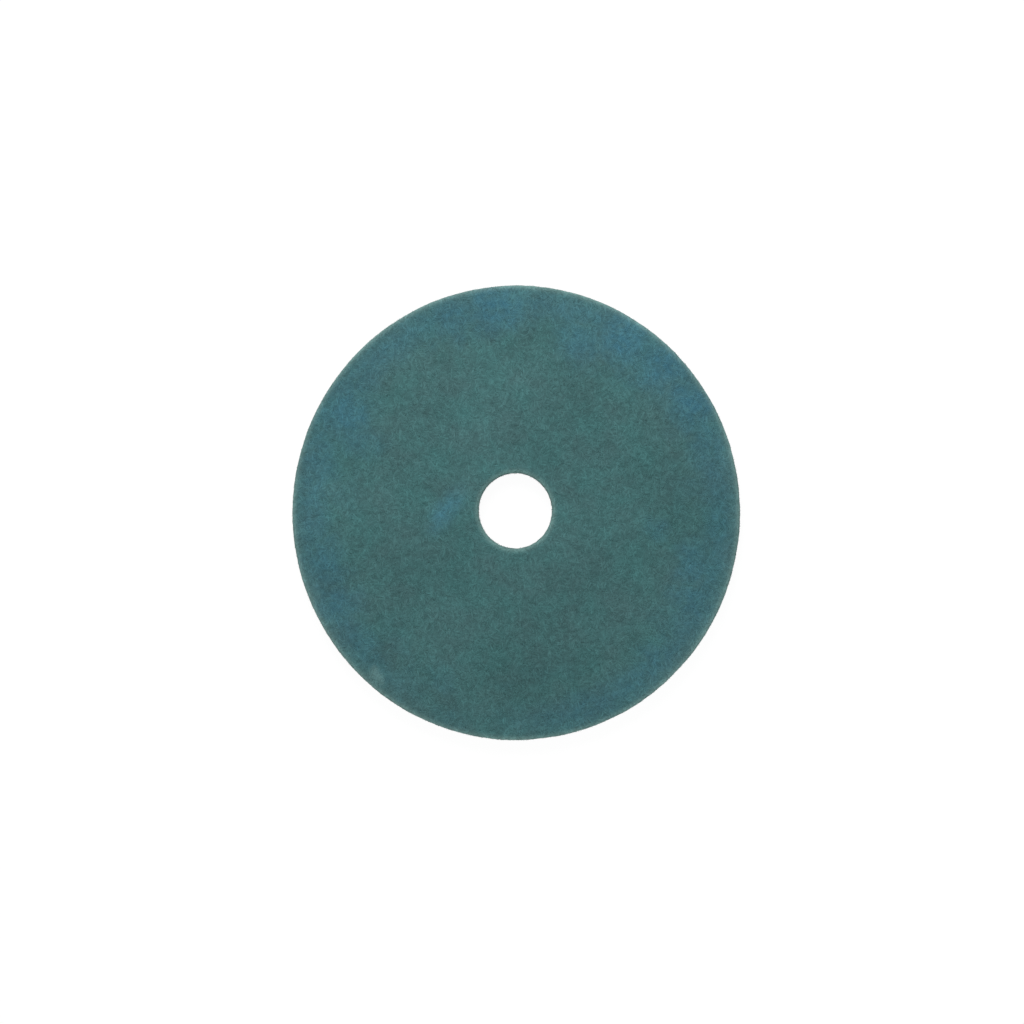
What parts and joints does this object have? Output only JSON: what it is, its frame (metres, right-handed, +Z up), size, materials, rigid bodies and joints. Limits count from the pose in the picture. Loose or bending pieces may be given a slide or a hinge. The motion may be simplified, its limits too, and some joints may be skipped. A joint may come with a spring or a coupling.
{
  "type": "floor polishing pad",
  "caption": "Thick round nonwoven floor polishing pad with a punched centre hole, cut from one lofty fibre web; both faces are working faces.",
  "frame": {"origin": "on the underside, below the middle of the rim, so the pad lies on Z = 0", "axes": "+Z up through the thickness, towards the face that meets the pad driver; +Y along the roll of web, the oval's longer way; +X across it"},
  "size_m": [0.504, 0.512, 0.025],
  "materials": {
    "bonded_web": "felted blue-green fibre web, dull"
  },
  "bodies": {
    "root": {"pad": "bonded_web"}
  },
  "joints": []
}
